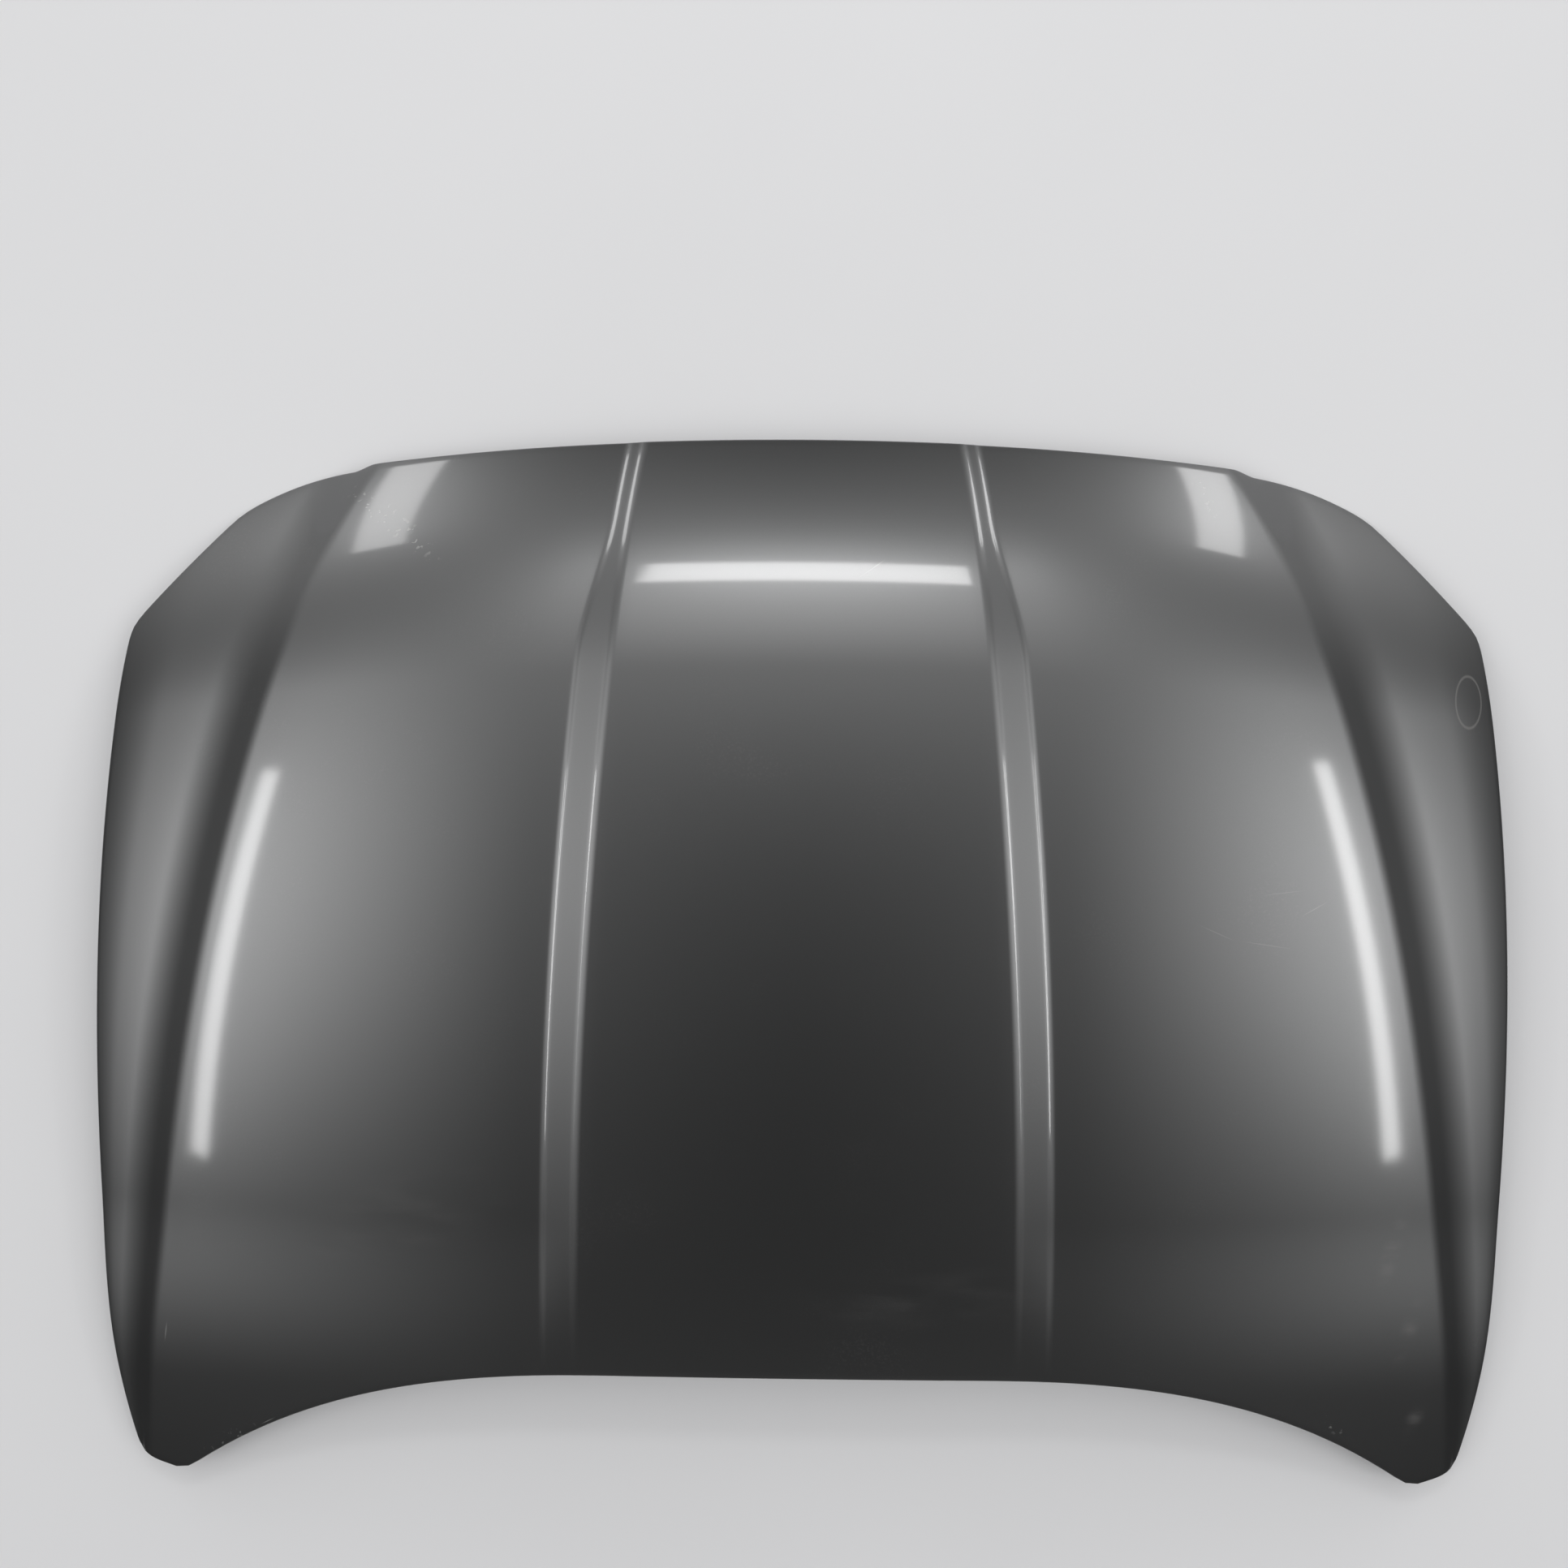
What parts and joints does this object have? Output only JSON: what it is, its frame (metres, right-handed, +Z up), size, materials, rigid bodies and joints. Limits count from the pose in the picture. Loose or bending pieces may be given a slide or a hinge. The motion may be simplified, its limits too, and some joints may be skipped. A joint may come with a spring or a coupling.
{
  "type": "car bonnet",
  "caption": "Dark grey metallic car bonnet with a raised centre panel, long shoulder creases and a concave rear edge, on a ribbed inner frame.",
  "frame": {"origin": "midway across and midway along the bonnet, on the plane of its hinge pads and buffers", "axes": "+Y from the windscreen edge to the nose, +Z up out of the painted face, X across"},
  "size_m": [1.538, 1.15, 0.1546],
  "materials": {
    "paint": "dark grey metallic, glossy clear coat",
    "frame_paint": "thin satin body colour over primer",
    "zinc_steel": "zinc plated",
    "rubber": "matt black",
    "mastic": "matt, as pressed"
  },
  "bodies": {
    "root": {"outer_skin": "paint", "inner_frame": "frame_paint", "hinge_plate_left": "zinc_steel", "hinge_plate_right": "zinc_steel", "hinge_nut_left_rear": "zinc_steel", "hinge_nut_left_front": "zinc_steel", "hinge_nut_right_rear": "zinc_steel", "hinge_nut_right_front": "zinc_steel", "striker_plate": "zinc_steel", "striker_base": "zinc_steel", "striker_loop": "zinc_steel", "striker_nut_left": "zinc_steel", "striker_screw_left": "zinc_steel", "striker_nut_right": "zinc_steel", "striker_screw_right": "zinc_steel", "rubber_buffer_left": "rubber", "rubber_buffer_right": "rubber", "rear_seal": "rubber", "nose_seal": "rubber", "mastic_bead_centre_1": "mastic", "mastic_bead_left_1": "mastic", "mastic_bead_right_1": "mastic", "mastic_bead_centre_2": "mastic", "mastic_bead_left_2": "mastic", "mastic_bead_right_2": "mastic", "mastic_bead_centre_3": "mastic", "mastic_bead_left_3": "mastic", "mastic_bead_right_3": "mastic"}
  },
  "joints": []
}
